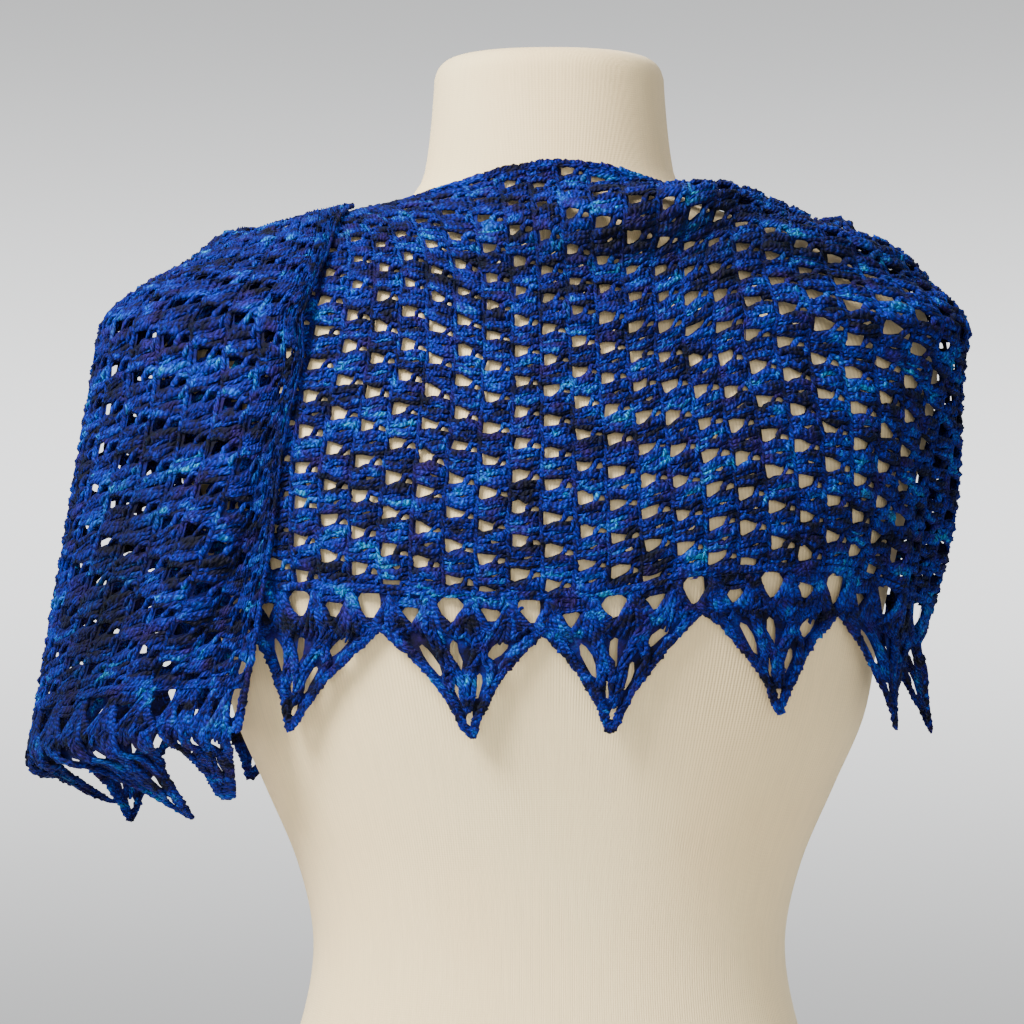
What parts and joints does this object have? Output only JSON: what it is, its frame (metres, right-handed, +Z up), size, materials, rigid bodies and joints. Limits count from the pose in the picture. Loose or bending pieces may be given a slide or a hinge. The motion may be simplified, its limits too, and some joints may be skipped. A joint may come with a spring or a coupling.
{
  "type": "crocheted capelet on a dress form",
  "caption": "Openwork crocheted capelet with a pointed lower edge, wound round the shoulders of a limbless dress form, its free end over the wearer's right shoulder.",
  "frame": {"origin": "centre of the dress form's flat base", "axes": "+Z up from the base to the neck, -Y the way the wearer faces, +X the wearer's left"},
  "size_m": [0.4795, 0.2515, 0.667],
  "materials": {
    "jersey": "matte fine-ribbed cream jersey over a firm form",
    "crochet": "soft variegated blue wool, openwork crochet",
    "crochet_edge": "soft variegated blue wool, crocheted band, points and roped edges"
  },
  "bodies": {
    "root": {"dress_form": "jersey", "front_net": "crochet", "front_border": "crochet_edge", "front_neck_edge": "crochet_edge", "back_net": "crochet", "back_border": "crochet_edge", "back_neck_edge": "crochet_edge", "overlap_net": "crochet", "overlap_border": "crochet_edge", "overlap_neck_edge": "crochet_edge", "start_edge": "crochet_edge", "free_edge": "crochet_edge"}
  },
  "joints": []
}
